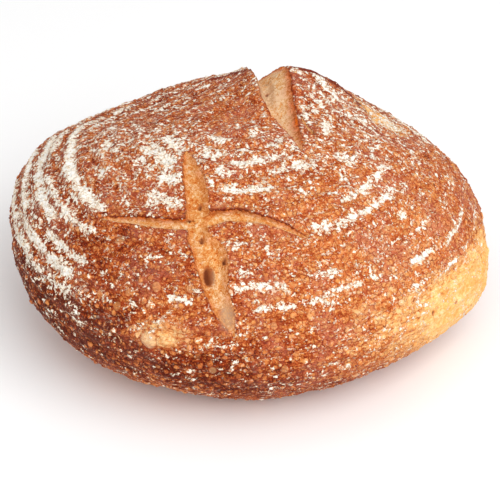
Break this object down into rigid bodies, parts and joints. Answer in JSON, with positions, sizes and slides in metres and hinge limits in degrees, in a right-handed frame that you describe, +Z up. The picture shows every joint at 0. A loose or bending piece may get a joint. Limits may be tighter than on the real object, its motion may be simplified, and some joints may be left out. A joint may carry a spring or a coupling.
{
  "type": "sourdough loaf",
  "caption": "Round domed sourdough loaf with basket rings, two crossing pairs of open slashes, lifted lips and a flat base.",
  "frame": {"origin": "middle of the flat base, on the surface that the loaf stands on", "axes": "+Z up, -Y towards the picture's camera, +X to the camera's right, which is also the loaf's longest side"},
  "size_m": [0.2649, 0.2412, 0.1248],
  "materials": {
    "crust": "rough baked crust, orange brown to dark brown, with cream flour on the basket rings",
    "crumb": "dry open crumb in the slashes, pale golden tan",
    "flour": "dry baked flour, matt cream"
  },
  "bodies": {
    "root": {"loaf": "crust"}
  },
  "joints": []
}
